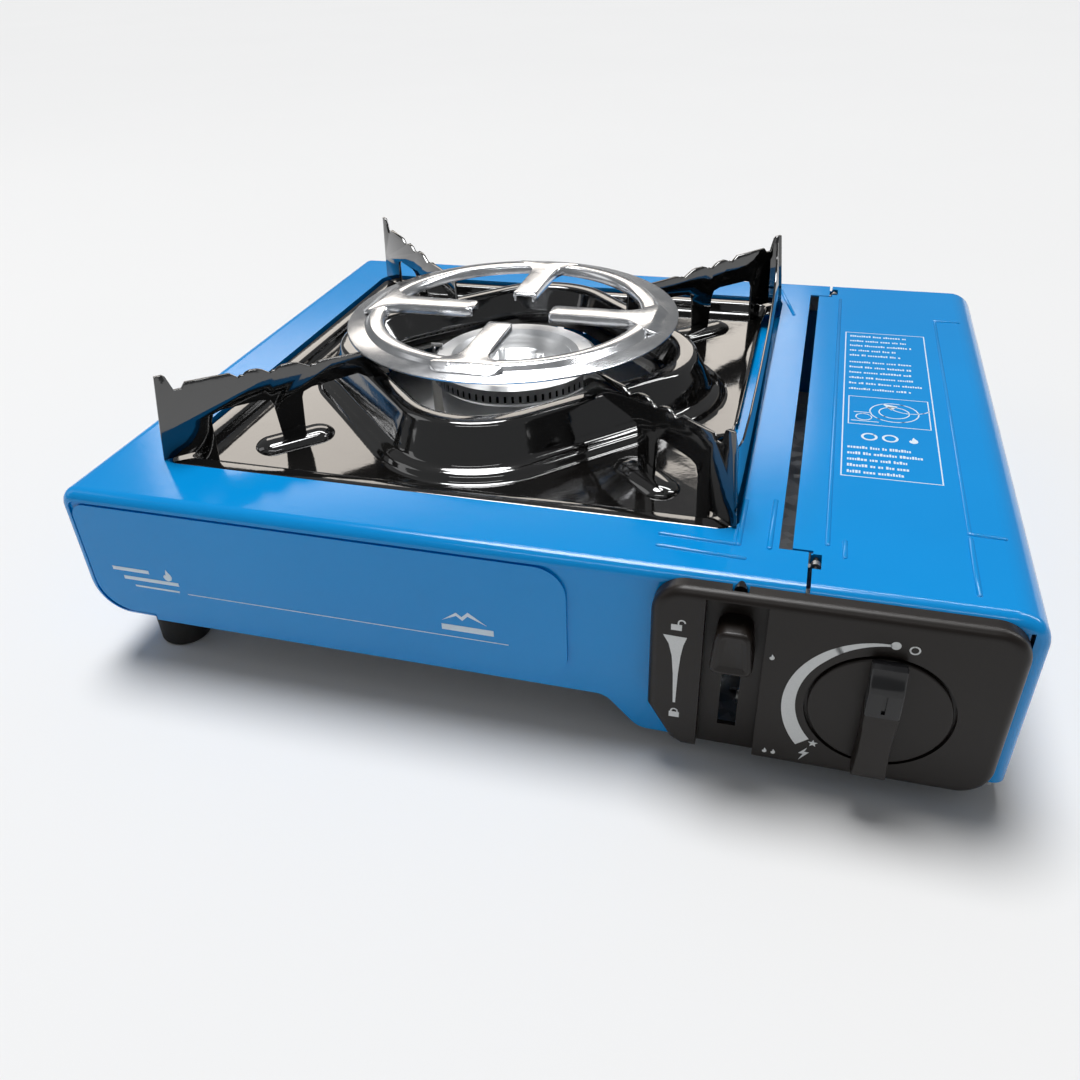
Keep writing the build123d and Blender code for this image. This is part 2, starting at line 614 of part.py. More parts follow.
def panel_screw():
    """Screw that holds the fascia at its top edge."""
    x, z = PANEL_SCREW
    screw = rod_y(x, z, PANEL_BACK_Y, -124, SCREW_HOLE_R) + rod_y(x, z, -132, PANEL_BACK_Y, 2.1)
    screw -= block(x - 1.8, x + 1.8, -133, -131.4, z - 0.35, z + 0.35)
    return screw - block(x - 0.35, x + 0.35, -133, -131.4, z - 1.8, z + 1.8)


def main():
    write("housing_shell", housing_shell())
    write("front_panel", front_panel())
    write("back_panel", back_panel())
    write("base_plate", base_plate())
    write("heat_barrier", heat_barrier())
    names = ("foot_front_left", "foot_rear_left", "foot_front_right", "foot_rear_right")
    for name, (x, y) in zip(names, FOOT_PLACES):
        write(name, foot(x, y))
    write("foot_screws", foot_screws())
    write("lid", lid())
    for end, (bracket_y, pin_y0, pin_y1) in HINGE_TABS.items():
        write("hinge_bracket_" + end, hinge_bracket(bracket_y))
        write("hinge_pin_" + end, hinge_pin(pin_y0, pin_y1))
    write("control_panel", control_panel())
    write("knob_dial", knob_dial())
    write("knob_grip", knob_grip())
    write("knob_cap", knob_cap())
    write("valve_spindle", valve_spindle())
    write("lever_thumb", lever_thumb())
    write("lock_slide", lock_slide())
    write("lock_crank", lock_crank())
    write("crank_pin", crank_pin())
    write("cartridge_pusher", cartridge_pusher())
    write("cartridge_cradle", cartridge_cradle())
    write("regulator_body", regulator_body())
    write("socket_collar", socket_collar())
    write("socket_seal", socket_seal())
    write("regulator_cap", regulator_cap())
    write("valve_bonnet", valve_bonnet())
    write("gas_jet", gas_jet())
    write("mixing_tube", mixing_tube())
    write("burner_base", burner_base())
    write("burner_bowl", burner_bowl())
    write("burner_head", burner_head())
    write("burner_plate", burner_plate())
    write("burner_pan", burner_pan())
    write("igniter_ceramic", igniter_ceramic())
    write("electrode_tip", electrode_tip())
    write("piezo_igniter", piezo_igniter())
    write("piezo_plunger", piezo_plunger())
    write("igniter_lead", igniter_lead())
    write("drip_tray", drip_tray())
    for name, sx, sy in (("leg_front_left", -1, -1), ("leg_front_right", 1, -1),
                         ("leg_rear_left", -1, 1), ("leg_rear_right", 1, 1)):
        write(name, leg(sx, sy))
    write("heat_shield", heat_shield())
    write("pot_ring", pot_ring())
    write("panel_screw", panel_screw())


main()
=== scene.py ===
"""Portable cassette stove: its looks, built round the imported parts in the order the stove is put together.
Pieces are shaped in millimetres and turned into metres when each one is finished."""
import random
from math import cos, pi, radians, sin, sqrt

import bmesh
import bpy
from mathutils import Matrix, Vector


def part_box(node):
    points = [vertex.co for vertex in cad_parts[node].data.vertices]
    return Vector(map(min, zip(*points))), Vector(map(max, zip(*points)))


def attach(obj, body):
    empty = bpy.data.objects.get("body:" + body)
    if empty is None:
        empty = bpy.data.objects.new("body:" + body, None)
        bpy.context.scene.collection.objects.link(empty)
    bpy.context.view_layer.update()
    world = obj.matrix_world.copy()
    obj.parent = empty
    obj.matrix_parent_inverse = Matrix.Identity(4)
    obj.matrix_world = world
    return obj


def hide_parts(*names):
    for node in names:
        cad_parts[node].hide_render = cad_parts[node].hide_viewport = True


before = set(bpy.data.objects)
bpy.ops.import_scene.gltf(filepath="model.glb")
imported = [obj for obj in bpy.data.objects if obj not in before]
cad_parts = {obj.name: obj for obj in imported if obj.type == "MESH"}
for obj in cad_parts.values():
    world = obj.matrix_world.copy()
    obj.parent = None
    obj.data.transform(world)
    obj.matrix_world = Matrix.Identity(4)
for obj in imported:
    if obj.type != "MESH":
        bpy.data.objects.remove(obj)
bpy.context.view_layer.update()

# ---- Camera, floor and studio light ----
# A plain pale floor under a soft overhead light, with a low fill from the left.
# Strip lamps that matt surfaces don't see give the paint, enamel and ring something to mirror.
scene = bpy.context.scene
scene.view_settings.view_transform = "Standard"

camera = bpy.data.objects.new("camera", bpy.data.cameras.new("camera"))
camera.data.lens = 31.479
camera.data.sensor_width = 36
camera.data.clip_start = 0.01
camera.location = (0.08966, -0.36736, 0.25106)
camera_turn, camera_drop, camera_roll = 0.29694, 0.59570, -0.04164
camera.rotation_euler = (Matrix.Rotation(camera_turn, 3, "Z") @ Matrix.Rotation(pi / 2 - camera_drop, 3, "X")
                         @ Matrix.Rotation(camera_roll, 3, "Z")).to_euler()
scene.collection.objects.link(camera)
scene.camera = camera


def add_light(name, kind, energy, place, target, width=0.0, height=0.0, colour=(1, 1, 1),
              lights_matt=True):
    """One studio lamp aimed at a point; one that doesn't light matt surfaces shows only as a reflection."""
    lamp = bpy.data.lights.new(name, kind)
    lamp.energy = energy
    lamp.color = colour
    if kind == "AREA":
        lamp.shape = "RECTANGLE"
        lamp.size = width
        lamp.size_y = height
    else:
        lamp.angle = width
    holder = bpy.data.objects.new(name, lamp)
    holder.location = place
    holder.rotation_euler = (Vector(target) - Vector(place)).to_track_quat("-Z", "Y").to_euler()
    holder.visible_camera = False
    holder.visible_diffuse = lights_matt
    scene.collection.objects.link(holder)


add_light("overhead_light", "SUN", 2.9, (-0.25, 0.35, 1.6), (0, 0, 0), width=radians(26))
add_light("rear_strip", "AREA", 3.0, (-0.45, 1.1, 0.66), (0, 0, 0.1), width=1.2, height=0.3,
          colour=(1.0, 0.92, 0.83), lights_matt=False)
add_light("left_fill", "AREA", 1.2, (-1.2, -0.3, 0.7), (0, 0, 0.05), width=0.5, height=0.9)
add_light("right_strip", "AREA", 6.0, (0.95, 0.25, 0.9), (0.1, 0, 0.05), width=0.12, height=1.0,
          lights_matt=False)
add_light("high_strip", "AREA", 7.5, (0.15, 0.75, 1.5), (0, 0, 0.05), width=1.4, height=0.12,
          lights_matt=False)
add_light("front_strip", "AREA", 3.0, (0.1, -1.1, 1.35), (0, 0, 0.05), width=1.3, height=0.1,
          lights_matt=False)


class Signal:
    """A shader socket; arithmetic on it adds Math nodes to its finish."""

    def __init__(self, finish, socket):
        self.finish = finish
        self.socket = socket

    def math(self, operation, first, second):
        return self.finish.node("Math", {"operation": operation}, {0: first, 1: second})

    def __add__(self, other):
        return self.math("ADD", self, other)

    def __rsub__(self, other):
        return self.math("SUBTRACT", other, self)

    def __mul__(self, other):
        return self.math("MULTIPLY", self, other)

    def __gt__(self, other):
        return self.math("GREATER_THAN", self, other)

    __radd__ = __add__
    __rmul__ = __mul__


class Finish:
    """A procedural material: one surface shader and the nodes that vary it."""

    def __init__(self, name, **constants):
        self.material = bpy.data.materials.new(name)
        self.material.use_nodes = True
        self.tree = self.material.node_tree
        self.shader = self.tree.nodes["Principled BSDF"]
        self.place = self.node("TexCoord", output="Object")
        for socket, value in constants.items():
            self.paint(socket.replace("_", " ").title().replace("Ior", "IOR"), value)

    def node(self, kind, settings=(), inputs=(), output=0):
        """Adds a node with these properties and inputs, and gives one of its outputs."""
        made = self.tree.nodes.new("ShaderNode" + kind)
        for name, value in dict(settings).items():
            setattr(made, name, value)
        for socket, value in dict(inputs).items():
            self.plug(made.inputs[socket], value)
        return Signal(self, made.outputs[output])

    def plug(self, socket, value):
        if isinstance(value, Signal):
            self.tree.links.new(value.socket, socket)
        elif socket.type == "RGBA" and len(value) == 3:
            socket.default_value = (*value, 1)
        else:
            socket.default_value = value

    def paint(self, socket, value):
        self.plug(self.shader.inputs[socket], value)

    def noise(self, scale, detail=2.0, roughness=0.5, stretch=(1, 1, 1)):
        """Soft random value from 0 to 1 over the surface."""
        spread = self.node("Mapping", {}, {"Vector": self.place, "Scale": stretch})
        return self.node("TexNoise", {"noise_dimensions": "3D"},
                         {"Vector": spread, "Scale": scale, "Detail": detail, "Roughness": roughness})

    def blend(self, share, first, second):
        """Colour between the first, where share is 0, and the second, where it is 1."""
        return self.node("Mix", {"data_type": "RGBA"}, {"Factor": share, 6: first, 7: second}, output=2)

    def bump(self, height, depth, strength):
        normal = self.node("Bump", {}, {"Strength": strength, "Distance": depth, "Height": height})
        self.paint("Normal", normal)


def coat(finish, *nodes):
    """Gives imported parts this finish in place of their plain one."""
    for node in nodes:
        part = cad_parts[node]
        part.data.materials.clear()
        part.data.materials.append(finish.material)


pale_floor = Finish("pale_floor", roughness=0.85, specular_ior_level=0.1)
pale_floor.paint("Base Color", pale_floor.blend(pale_floor.noise(3, 3), (0.80, 0.80, 0.80),
                                                (0.82, 0.82, 0.82)))
floor_reach = 14
floor_shape = bmesh.new()
bmesh.ops.create_grid(floor_shape, x_segments=1, y_segments=1, size=floor_reach)
floor_mesh = bpy.data.meshes.new("studio_floor")
floor_shape.to_mesh(floor_mesh)
floor_shape.free()
floor_mesh.materials.append(pale_floor.material)
studio_floor = bpy.data.objects.new("studio_floor", floor_mesh)
scene.collection.objects.link(studio_floor)

# The sky is dim as a light but pale where the camera looks past the floor.
sky_light, sky_look = 0.2, 0.85
studio = bpy.data.worlds.new("studio")
studio.use_nodes = True
sky_nodes = studio.node_tree.nodes
sky = sky_nodes["Background"]
sky.inputs["Color"].default_value = (0.96, 0.98, 1.0, 1)
seen_by_camera = sky_nodes.new("ShaderNodeLightPath").outputs["Is Camera Ray"]
sky_strength = sky_nodes.new("ShaderNodeMapRange")
sky_strength.inputs["To Min"].default_value = sky_light
sky_strength.inputs["To Max"].default_value = sky_look
studio.node_tree.links.new(seen_by_camera, sky_strength.inputs["Value"])
studio.node_tree.links.new(sky_strength.outputs["Result"], sky.inputs["Strength"])
scene.world = studio

# ---- Feet ----
# Four moulded rubber feet under the floor, each held by one zinc-plated slotted screw.
# The rubber is matt, slightly grey with handling dust.
rubber = Finish("foot_rubber", roughness=0.8, specular_ior_level=0.3)
rubber_grain = rubber.noise(900, 4, 0.6)
rubber.paint("Base Color", rubber.blend(rubber.noise(120, 3), (0.012, 0.012, 0.012), (0.028, 0.027, 0.026)))
rubber.paint("Roughness", 0.68 + rubber_grain * 0.2)
rubber.bump(rubber_grain, 0.0002, 0.5)
coat(rubber, "foot_front_left", "foot_front_right", "foot_rear_left", "foot_rear_right", "socket_seal")

screw_steel = Finish("screw_steel", metallic=1.0, roughness=0.28)
screw_wear = screw_steel.noise(700, 4)
screw_steel.paint("Base Color", screw_steel.blend(screw_wear, (0.60, 0.60, 0.58), (0.78, 0.78, 0.76)))
screw_steel.paint("Roughness", 0.22 + screw_wear * 0.22)
coat(screw_steel, "foot_screws", "crank_pin")

# ---- Base plate, heat barrier and inner sheets ----
# Plain galvanised steel, cut and bent; the zinc shows its crystal spangle and fine rolling lines.
# The hinge wires are oiled black, the lock slide is passivated yellow and the burner pan is bright.
galvanised = Finish("galvanised_sheet", metallic=0.95, roughness=0.4)
spangle = galvanised.node("TexVoronoi", {"feature": "F1"}, {"Vector": galvanised.place, "Scale": 210},
                          "Color")
spangle_value = galvanised.node("SeparateColor", {}, {0: spangle})
rolling = galvanised.noise(60, 3, 0.5, (1, 40, 1))
galvanised.paint("Base Color", galvanised.blend(spangle_value, (0.36, 0.37, 0.38), (0.60, 0.61, 0.62)))
galvanised.paint("Roughness", 0.26 + spangle_value * 0.16 + rolling * 0.1)
galvanised.bump(rolling, 0.00008, 0.5)
coat(galvanised, "base_plate", "heat_barrier", "cartridge_cradle", "cartridge_pusher", "hinge_bracket_front",
     "hinge_bracket_rear", "lock_crank")

oiled_wire = Finish("oiled_wire", metallic=0.8, roughness=0.45)
oil_film = oiled_wire.noise(300, 4, 0.6)
oiled_wire.paint("Base Color", oiled_wire.blend(oil_film, (0.020, 0.020, 0.022), (0.06, 0.06, 0.062)))
oiled_wire.paint("Roughness", 0.36 + oil_film * 0.2)
coat(oiled_wire, "hinge_pin_front", "hinge_pin_rear")

yellow_zinc = Finish("yellow_zinc", metallic=1.0, roughness=0.34)
passivate = yellow_zinc.noise(160, 4, 0.6)
yellow_zinc.paint("Base Color", yellow_zinc.blend(passivate, (0.46, 0.33, 0.14), (0.66, 0.52, 0.30)))
yellow_zinc.paint("Roughness", 0.28 + passivate * 0.2)
coat(yellow_zinc, "lock_slide")

bright_plate = Finish("bright_pan", metallic=0.75, roughness=0.3)
pan_stain = bright_plate.noise(45, 4, 0.6)
bright_plate.paint("Base Color", bright_plate.blend(pan_stain, (0.86, 0.86, 0.85), (0.95, 0.95, 0.94)))
bright_plate.paint("Roughness", 0.4 + bright_plate.noise(30, 3, 0.6, (1, 30, 1)) * 0.2)
coat(bright_plate, "burner_pan")

# ---- Housing, front and back sheets ----
# Pressed steel sheet with a glossy blue baked paint that has a faint orange peel and varies
# a little in depth. Low beads stiffen the top near the lid's hinge.
MM = 0.001


def finish_piece(shape, name, body, finish, stands_for=(), sharp=35.0, turn_faces=True):
    """Turns a shape in millimetres into a finished piece in metres that rides on its body."""
    if turn_faces:
        bmesh.ops.remove_doubles(shape, verts=shape.verts, dist=0.002)
        bmesh.ops.recalc_face_normals(shape, faces=shape.faces)
    bmesh.ops.scale(shape, vec=(MM, MM, MM), verts=shape.verts)
    mesh = bpy.data.meshes.new(name)
    shape.to_mesh(mesh)
    shape.free()
    mesh.shade_smooth()
    mesh.set_sharp_from_angle(angle=radians(sharp))
    mesh.materials.append(finish.material)
    piece = bpy.data.objects.new(name, mesh)
    scene.collection.objects.link(piece)
    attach(piece, body)
    if stands_for:
        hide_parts(*stands_for)
    return piece


def add_block(shape, low, high):
    """Box between two corners."""
    centre = [(a + b) / 2 for a, b in zip(low, high)]
    size = [b - a for a, b in zip(low, high)]
    place = Matrix.Translation(centre) @ Matrix.Diagonal((*size, 1))
    return bmesh.ops.create_cube(shape, size=1, matrix=place)["verts"]


def add_bead(shape, start, end, width, height, segments=10):
    """Pressed bead: a low rounded ridge with round ends, its lower half inside the sheet."""
    start, end, up = Vector(start), Vector(end), Vector((0, 0, 1))
    along = end - start
    side = up.cross(along.normalized())
    turn = Matrix((along.normalized(), side, up)).transposed().to_4x4()
    verts = bmesh.ops.create_uvsphere(shape, u_segments=24, v_segments=segments, radius=width / 2,
                                      matrix=Matrix.Rotation(pi / 2, 4, "Y"))["verts"]
    for vert in verts:
        if vert.co.x > 0:
            vert.co.x += along.length
        vert.co.z *= 2 * height / width
    bmesh.ops.transform(shape, matrix=Matrix.Translation(start) @ turn, verts=verts)


blue_paint = Finish("blue_paint", roughness=0.24, specular_ior_level=0.4)
peel = blue_paint.noise(520, 2, 0.4)
paint_depth = blue_paint.noise(14, 3, 0.5)
blue_paint.paint("Base Color", blue_paint.blend(paint_depth, (0.0, 0.255, 0.66), (0.0, 0.295, 0.74)))
blue_paint.paint("Roughness", 0.11 + blue_paint.noise(240, 3) * 0.08)
blue_paint.bump(peel, 0.00004, 0.3)
coat(blue_paint, "housing_shell", "front_panel", "back_panel", "lid")

TOP = 77.0
BEAD_LEVEL = TOP - 0.3
HOUSING_BEADS = (((52.3, -109.2), (76.2, -110.2)), ((52.6, -116.1), (80, -117.5)),
                 ((77.6, -110), (77.6, -83)), ((87.4, -110), (87.4, -81)), ((75.2, 131), (83.5, 97)))
housing_beads = bmesh.new()
for start, end in HOUSING_BEADS:
    add_bead(housing_beads, (*start, BEAD_LEVEL), (*end, BEAD_LEVEL), width=2.0, height=0.95)
finish_piece(housing_beads, "housing_beads", "housing", blue_paint, turn_faces=False)

# ---- Marks on the front sheet ----
# Thin pale screen print: one long line between two plain generic marks,
# a flame on the left and a pair of hills on the right.
pale_print = Finish("pale_print", roughness=0.5)
print_wear = pale_print.noise(1500, 3)
pale_print.paint("Base Color", pale_print.blend(print_wear, (0.62, 0.74, 0.84), (0.74, 0.84, 0.92)))
FRONT_PRINT = -130.02
INK = 0.06


def push_out(shape, faces, step):
    """Extrudes faces by a step."""
    grown = bmesh.ops.extrude_face_region(shape, geom=faces)["geom"]
    moved = [item for item in grown if isinstance(item, bmesh.types.BMVert)]
    bmesh.ops.translate(shape, vec=step, verts=moved)


def add_ink(shape, points, level, axis):
    """Flat printed shape with the thickness of ink, on an upright (Y) or a level (Z) surface."""
    upright = axis == "Y"
    rim = [shape.verts.new((x, level, y) if upright else (x, y, level)) for x, y in points]
    push_out(shape, [shape.faces.new(rim)], (0, -INK, 0) if upright else (0, 0, INK))


def bar(x0, x1, y0, y1):
    return [(x0, y0), (x1, y0), (x1, y1), (x0, y1)]


def flame(x, y, size):
    """Small flame outline."""
    outline = [(0, 1.0), (0.16, 0.72), (0.36, 0.46), (0.42, 0.18), (0.30, -0.10), (0, -0.24), (-0.30, -0.10),
               (-0.42, 0.18), (-0.28, 0.42), (-0.16, 0.34), (-0.10, 0.66)]
    return [(x + size * dx, y + size * dy) for dx, dy in outline]


front_marks = bmesh.new()
add_ink(front_marks, bar(-124, 4, 36.4, 36.75), FRONT_PRINT, "Y")
for left, right, low, high in ((-155, -139, 43.6, 45.2), (-151, -127, 39.7, 41.3),
                               (-147, -127.5, 36.6, 37.4)):
    add_ink(front_marks, bar(left, right, low, high), FRONT_PRINT, "Y")
add_ink(front_marks, flame(-131, 42.6, 4.4), FRONT_PRINT, "Y")
hills = [(-20, 43.6), (-14.6, 47.6), (-12.6, 46.0), (-10.2, 48.4), (-3.5, 43.6), (-10.4, 46.6), (-12.4, 44.4),
         (-14.6, 46.2)]
add_ink(front_marks, hills, FRONT_PRINT, "Y")
add_ink(front_marks, bar(-20.4, -1.2, 39.4, 41.9), FRONT_PRINT, "Y")
finish_piece(front_marks, "front_marks", "housing", pale_print)

# ---- Gas parts inside the cartridge bay ----
# Die-cast zinc regulator with a pressed collar for the cartridge, brass jet and valve spindle.
# The casting is dull and faintly pitted; the brass shows turning lines.
zinc = Finish("cast_zinc", metallic=0.9, roughness=0.5)
zinc_pits = zinc.noise(1100, 4, 0.6)
zinc.paint("Base Color", zinc.blend(zinc.noise(80, 3), (0.42, 0.42, 0.42), (0.56, 0.56, 0.55)))
zinc.paint("Roughness", 0.4 + zinc_pits * 0.25)
zinc.bump(zinc_pits, 0.00015, 0.5)
coat(zinc, "regulator_body", "regulator_cap", "valve_bonnet", "piezo_plunger")

brass = Finish("turned_brass", metallic=1.0, roughness=0.3)
turning = brass.noise(300, 2, 0.5, (1, 12, 1))
brass.paint("Base Color", brass.blend(turning, (0.62, 0.42, 0.16), (0.80, 0.58, 0.26)))
brass.paint("Roughness", 0.22 + turning * 0.2)
coat(brass, "gas_jet", "valve_spindle", "socket_collar")

steel = Finish("plain_steel", metallic=1.0, roughness=0.3)
steel_lines = steel.noise(90, 3, 0.6, (1, 1, 18))
steel.paint("Base Color", steel.blend(steel_lines, (0.46, 0.46, 0.46), (0.66, 0.66, 0.65)))
steel.paint("Roughness", 0.24 + steel_lines * 0.2)
coat(steel, "mixing_tube", "electrode_tip")

# ---- Burner ----
# Spun aluminium bowl and slotted head ring on a cast base, with a bright dished plate inside.
# Fine turning rings run round the axis, and the head's slots are painted near-black as shade.
BURNER_X, BURNER_Y = -33.2, 8.0
aluminium = Finish("bright_aluminium", metallic=0.88, roughness=0.22)
centred = aluminium.node("Mapping", {}, {"Vector": aluminium.place,
                                         "Location": (-BURNER_X * MM, -BURNER_Y * MM, 0)})
turned = aluminium.node("TexWave", {"wave_type": "RINGS", "rings_direction": "Z"},
                        {"Vector": centred, "Scale": 260, "Distortion": 0.6, "Detail": 2.0}, "Fac")
smear = aluminium.noise(70, 4, 0.6)
aluminium.paint("Base Color", aluminium.blend(smear, (0.76, 0.77, 0.78), (0.92, 0.93, 0.94)))
aluminium.paint("Roughness", 0.24 + smear * 0.14 + turned * 0.05)
aluminium.bump(turned, 0.00002, 0.4)
coat(aluminium, "burner_bowl", "burner_base")

head_metal = Finish("burner_head_metal", metallic=0.9, roughness=0.26)
from_axis = head_metal.node("VectorMath", {"operation": "SUBTRACT"},
                            {0: head_metal.place, 1: (BURNER_X * MM, BURNER_Y * MM, 0)})
flat_place = head_metal.node("VectorMath", {"operation": "MULTIPLY"}, {0: from_axis, 1: (1, 1, 0)})
from_middle = head_metal.node("VectorMath", {"operation": "LENGTH"}, {0: flat_place}, "Value")
height = head_metal.node("SeparateXYZ", {}, {0: head_metal.place}, "Z")
slot_radius, slot_low, slot_high = 36.4 * MM, 77.55 * MM, 80.65 * MM
# Painted shade: in the band of slots the head is coloured near-black and made rougher.
painted_slot_shade = (slot_radius - from_middle > 0) * (height > slot_low) * (slot_high - height > 0)
head_wear = head_metal.noise(150, 4, 0.6)
bare_metal = head_metal.blend(head_wear, (0.70, 0.71, 0.72), (0.90, 0.91, 0.92))
head_metal.paint("Base Color", head_metal.blend(painted_slot_shade, bare_metal, (0.012, 0.011, 0.010)))
head_metal.paint("Roughness", 0.26 + head_wear * 0.14 + painted_slot_shade * 0.4)
coat(head_metal, "burner_head")


def spin_profile(shape, profile, steps=96):
    """Closed (radius, height) profile turned all the way round the burner's axis."""
    rim = [shape.verts.new((BURNER_X + radius, BURNER_Y, z)) for radius, z in profile]
    edges = [shape.edges.new((a, b)) for a, b in zip(rim, rim[1:] + rim[:1])]
    bmesh.ops.spin(shape, geom=rim + edges, cent=(BURNER_X, BURNER_Y, 0), axis=(0, 0, 1), angle=2 * pi,
                   steps=steps, use_merge=True)


def soften(shape, edges, offset, segments):
    """Rounds these edges."""
    bmesh.ops.bevel(shape, geom=edges, offset=offset, segments=segments, profile=0.5, affect="EDGES",
                    material=-1)


def add_post(shape, x, y, z0, z1, radius):
    """Upright pin with a softened top edge."""
    place = Matrix.Translation((x, y, (z0 + z1) / 2))
    made = bmesh.ops.create_cone(shape, cap_ends=True, segments=24, radius1=radius, radius2=radius,
                                 depth=z1 - z0, matrix=place)["verts"]
    edges = [e for v in made for e in v.link_edges if all(p.co.z > z1 - 0.01 for p in e.verts)]
    soften(shape, list(set(edges)), offset=0.3, segments=2)


burner_dish = bmesh.new()
spin_profile(burner_dish, [(0.5, 76.3), (25.6, 76.3), (25.9, 77.2), (25.6, 82.6), (25.2, 82.9), (24.6, 82.4),
                           (22.0, 78.0), (20.6, 77.4), (7.0, 77.3), (5.6, 77.9), (4.0, 78.0), (0.5, 78.0)])
finish_piece(burner_dish, "burner_dish", "housing", aluminium, ("burner_plate",), sharp=40)
burner_posts = bmesh.new()
for dx, dy in ((-9, 8), (10, 5)):
    add_post(burner_posts, BURNER_X + dx, BURNER_Y + dy, 77.2, 83.0, 1.8)
finish_piece(burner_posts, "burner_posts", "housing", aluminium)

# ---- Igniter ----
# White glazed ceramic rod that holds the wire electrode at the burner's left side,
# and the red silicone-covered lead that reaches it from the piezo unit.
ceramic = Finish("glazed_ceramic", roughness=0.25)
ceramic.paint("Base Color", ceramic.blend(ceramic.noise(200, 3), (0.78, 0.76, 0.70), (0.86, 0.84, 0.80)))
coat(ceramic, "igniter_ceramic")
silicone = Finish("lead_silicone", roughness=0.55)
silicone.paint("Base Color", silicone.blend(silicone.noise(90, 3), (0.50, 0.03, 0.02), (0.60, 0.05, 0.03)))
coat(silicone, "igniter_lead")

# ---- Control panel ----
# Injection-moulded black fascia with a fine spark-eroded grain, slightly brown in warm light,
# screwed to the front sheet at its top edge.
black_plastic = Finish("black_plastic", roughness=0.45, specular_ior_level=0.3)
grain = black_plastic.noise(2600, 3, 0.6)
black_plastic.paint("Base Color", black_plastic.blend(black_plastic.noise(18, 3), (0.0085, 0.0060, 0.0048),
                                                      (0.0130, 0.0094, 0.0074)))
black_plastic.paint("Roughness", 0.30 + grain * 0.12)
black_plastic.bump(grain, 0.00006, 0.6)
coat(black_plastic, "control_panel", "piezo_igniter", "knob_dial")

gloss_black = Finish("gloss_black", roughness=0.12, specular_ior_level=0.4)
gloss_black.paint("Base Color", gloss_black.blend(gloss_black.noise(60, 2), (0.010, 0.010, 0.011),
                                                  (0.018, 0.018, 0.019)))
gloss_black.paint("Roughness", 0.08 + gloss_black.noise(400, 3) * 0.08)
coat(gloss_black, "panel_screw")

panel_print = Finish("panel_print", roughness=0.5)
panel_print.paint("Base Color", panel_print.blend(panel_print.noise(1800, 3), (0.60, 0.62, 0.62),
                                                  (0.72, 0.73, 0.73)))
PANEL = -137.0
KNOB_X, KNOB_Z = 126.3, 39.3
panel_marks = bmesh.new()


def disc(x, z, radius, count=28):
    angles = [2 * pi * index / count for index in range(count)]
    return [(x + radius * cos(angle), z + radius * sin(angle)) for angle in angles]


def add_arc(shape, x, z, inner, outer, start, end, count, level, axis):
    """Printed arc made of short joined pieces; inner and outer give its radii along its length."""
    for index in range(count):
        corners = []
        here, there = index / count, (index + 1) / count
        for share, reach in ((here, inner), (there, inner), (there, outer), (here, outer)):
            angle = radians(start + (end - start) * share)
            corners.append((x + reach(share) * cos(angle), z + reach(share) * sin(angle)))
        add_ink(shape, corners, level, axis)


def star(x, z, size):
    points = []
    for index in range(10):
        reach = size if index % 2 == 0 else size * 0.42
        points.append((x + reach * cos(radians(90 + 36 * index)), z + reach * sin(radians(90 + 36 * index))))
    return points


def padlock(shape, x, z, open_by):
    """Small padlock sign, its bow lifted and swung aside when open."""
    add_ink(shape, bar(x - 1.7, x + 1.7, z - 1.5, z + 0.8), PANEL, "Y")
    bow_x, bow_z = x + open_by, z + 1.1 + open_by * 0.3
    add_arc(shape, bow_x, bow_z, lambda share: 0.8, lambda share: 1.3, 0, 180, 10, PANEL, "Y")
    add_ink(shape, bar(bow_x - 1.3, bow_x - 0.8, z + 0.8, bow_z), PANEL, "Y")
    if not open_by:
        add_ink(shape, bar(x + 0.8, x + 1.3, z + 0.8, z + 1.1), PANEL, "Y")


add_ink(panel_marks, disc(127.0, 66.4, 1.45), PANEL, "Y")
add_arc(panel_marks, KNOB_X, KNOB_Z, lambda share: 26.5 - 1.5 * min(1, 3 * share),
        lambda share: 27.3 + 2.8 * share ** 1.2, 91, 220.5, 44, PANEL, "Y")
add_arc(panel_marks, 132.4, 65.6, lambda share: 1.1, lambda share: 1.6, 0, 360, 24, PANEL, "Y")
wedge = [(58.5, 57.8), (60.4, 54.4), (61.6, 49.5), (62.3, 42.0), (62.8, 29.4), (63.6, 29.4), (63.9, 42.0),
         (64.4, 49.5), (65.1, 54.4), (66.1, 57.6)]
add_ink(panel_marks, wedge[:2] + wedge[8:], PANEL, "Y")
for low in range(1, 4):
    add_ink(panel_marks, [wedge[low], wedge[low + 1], wedge[8 - low], wedge[9 - low]], PANEL, "Y")
padlock(panel_marks, 62.6, 61.6, 1.6)
padlock(panel_marks, 63.4, 24.4, 0)
add_ink(panel_marks, flame(92.5, 54.3, 1.9), PANEL, "Y")
for x in (94.0, 96.8):
    add_ink(panel_marks, flame(x, 14.0, 1.8), PANEL, "Y")
add_ink(panel_marks, star(108.8, 21.4, 1.6), PANEL, "Y")
bolt = [(0.9, 2.6), (-1.6, -0.4), (-0.1, -0.4), (-1.3, -3.4), (1.7, 0.6), (0.2, 0.6)]
add_ink(panel_marks, [(106.4 + x, 16.4 + z) for x, z in bolt], PANEL, "Y")
finish_piece(panel_marks, "panel_marks", "housing", panel_print)

# ---- Knob ----
# Moulded grip bar across the dial, its upper half covered by a glossy faceted cap
# with a pointer slit; the bar's tail reaches past the dial.
GRIP_BASE = -137.4


